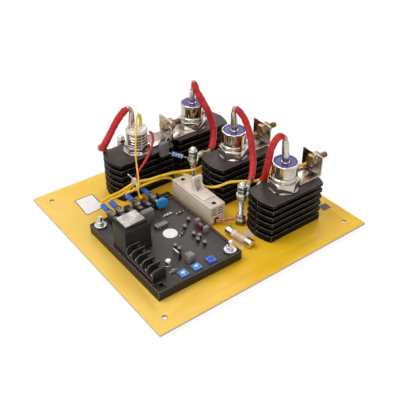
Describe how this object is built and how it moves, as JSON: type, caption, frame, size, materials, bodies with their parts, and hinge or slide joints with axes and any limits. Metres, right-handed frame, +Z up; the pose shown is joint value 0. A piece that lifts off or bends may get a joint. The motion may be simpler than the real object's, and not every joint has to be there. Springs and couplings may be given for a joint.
{
  "type": "automatic voltage regulator",
  "caption": "Open-frame regulator for a small alternator: finned rectifier heatsinks, a potted control module, a fuse holder and terminal posts on one flat laminate board.",
  "frame": {"origin": "centre of the four corner holes, on the board's top face", "axes": "+Z up out of the board; +X towards the ends of the terminal bolts; +Y from the trimmers to the spade strip"},
  "size_m": [0.286, 0.274, 0.127],
  "materials": {
    "laminate": "fine-ground laminate",
    "black_anodised": "black anodised extrusion",
    "bracket_steel": "plated sheet with a rolled grain",
    "nickel_case": "bright nickel plate",
    "ceramic_white": "glazed white",
    "tinned_tube": "tinned copper tube",
    "blue_enamel": "blue-violet sealing enamel",
    "brass_bolt": "dulled brass",
    "red_sleeve": "varnished glass-fibre sleeve",
    "tinned_lug": "tinned brass strip",
    "zinc_steel": "bright zinc plate",
    "olive_zinc": "yellow zinc plate",
    "module_plastic": "moulded black plastic",
    "potting_resin": "poured black resin",
    "blue_plastic": "moulded blue plastic",
    "pale_rotor": "pale moulded rotor",
    "cream_plastic": "moulded cream plastic",
    "fuse_ceramic": "cream ceramic with plated caps",
    "yellow_wire": "wire insulation",
    "bare_copper": "bare twisted copper",
    "white_nylon": "nylon strap",
    "grey_component": "dipped grey case"
  },
  "bodies": {
    "frame": {"base_board": "laminate", "heatsink_a": "black_anodised", "heatsink_b": "black_anodised", "heatsink_c": "black_anodised", "heatsink_d": "black_anodised", "bracket_a": "bracket_steel", "bracket_b": "bracket_steel", "bracket_c": "bracket_steel", "bracket_d": "bracket_steel", "thyristor_case": "nickel_case", "diode_case_b": "nickel_case", "diode_case_c": "nickel_case", "diode_case_d": "nickel_case", "thyristor_ceramic": "ceramic_white", "thyristor_tubes": "tinned_tube", "diode_tubes": "tinned_tube", "diode_seals": "blue_enamel", "terminal_bolts": "brass_bolt", "terminal_nuts": "brass_bolt", "red_lead_a": "red_sleeve", "red_lead_b": "red_sleeve", "red_lead_c": "red_sleeve", "red_lead_d": "red_sleeve", "red_wire": "red_sleeve", "lead_lugs": "tinned_lug", "spade_tabs": "tinned_lug", "spade_shells": "tinned_lug", "fuse_clips": "tinned_lug", "board_bolts": "zinc_steel", "post_studs": "zinc_steel", "hex_nuts": "zinc_steel", "plain_washers": "zinc_steel", "post_caps": "zinc_steel", "pan_screws": "zinc_steel", "post_spacers": "olive_zinc", "avr_tray": "module_plastic", "transformer": "module_plastic", "spade_strip": "module_plastic", "barrier_strip": "module_plastic", "driver_chip": "module_plastic", "relay": "module_plastic", "module_capacitors": "module_plastic", "transistors": "module_plastic", "axial_parts": "module_plastic", "avr_resin": "potting_resin", "spade_sleeves": "blue_plastic", "trimmer_bodies": "blue_plastic", "varistor": "blue_plastic", "fuse_base": "cream_plastic", "spare_fuse": "fuse_ceramic", "control_wires": "yellow_wire", "gate_wire": "yellow_wire", "copper_wires": "bare_copper", "cable_tie": "white_nylon", "snubber": "grey_component"},
    "trimmer_a": {"trimmer_rotor_a": "pale_rotor"},
    "trimmer_b": {"trimmer_rotor_b": "pale_rotor"},
    "trimmer_c": {"trimmer_rotor_c": "blue_plastic"},
    "carrier": {"fuse_carrier": "cream_plastic", "fuse_link": "fuse_ceramic"}
  },
  "joints": [
    {"name": "trimmer_a_turn", "type": "hinge", "parent": "frame", "child": "trimmer_a", "pos_m": [-0.0825, -0.091, 0.012], "axis": [0, 0, 1], "range_deg": [-135, 135]},
    {"name": "trimmer_b_turn", "type": "hinge", "parent": "frame", "child": "trimmer_b", "pos_m": [-0.0658, -0.091, 0.012], "axis": [0, 0, 1], "range_deg": [-135, 135]},
    {"name": "trimmer_c_turn", "type": "hinge", "parent": "frame", "child": "trimmer_c", "pos_m": [-0.047, -0.091, 0.012], "axis": [0, 0, 1], "range_deg": [-135, 135]},
    {"name": "carrier_pull", "type": "slide", "parent": "frame", "child": "carrier", "axis": [0, 0, 1], "range_m": [0, 0.022]}
  ]
}
